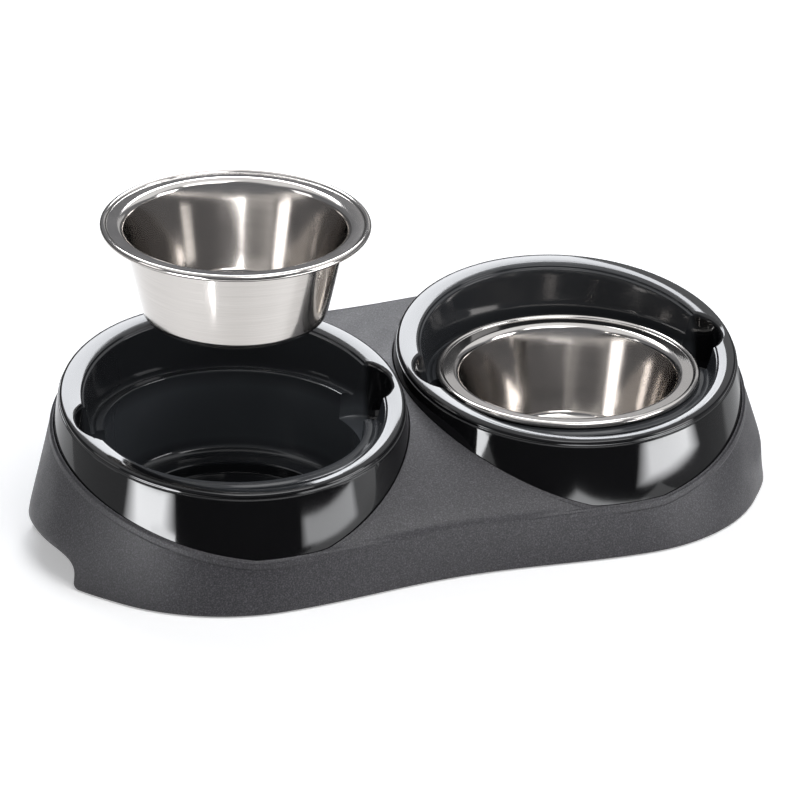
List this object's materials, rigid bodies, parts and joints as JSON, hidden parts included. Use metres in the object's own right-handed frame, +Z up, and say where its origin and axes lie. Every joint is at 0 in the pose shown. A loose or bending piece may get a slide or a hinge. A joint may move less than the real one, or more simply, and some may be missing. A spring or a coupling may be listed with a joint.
{
  "type": "double pet bowl",
  "caption": "Low moulded feeding stand with tilted round wells for a cat or dog, loose stainless steel bowls and a handhold at each end.",
  "frame": {"origin": "centre of the stand's footprint on the surface it stands on, at the bottom of the feet", "axes": "+X to the right along the row of the two wells, +Y to the raised rear, +Z up"},
  "size_m": [0.4616, 0.2204, 0.2044],
  "materials": {
    "stand": "fine-textured matte dark grey",
    "well": "high-gloss black",
    "steel": "polished stainless steel",
    "rubber": "matte black"
  },
  "bodies": {
    "stand": {"stand_base": "stand", "left_well": "well", "right_well": "well", "front_left_foot": "rubber", "front_right_foot": "rubber", "rear_left_foot": "rubber", "rear_right_foot": "rubber"},
    "left_bowl": {"left_bowl": "steel"},
    "right_bowl": {"right_bowl": "steel"}
  },
  "joints": [
    {"name": "left_bowl_lift", "type": "slide", "parent": "stand", "child": "left_bowl", "axis": [0, 0, 1], "range_m": [-0.128, 0]},
    {"name": "right_bowl_lift", "type": "slide", "parent": "stand", "child": "right_bowl", "axis": [0, 0, 1], "range_m": [0, 0.128]}
  ]
}
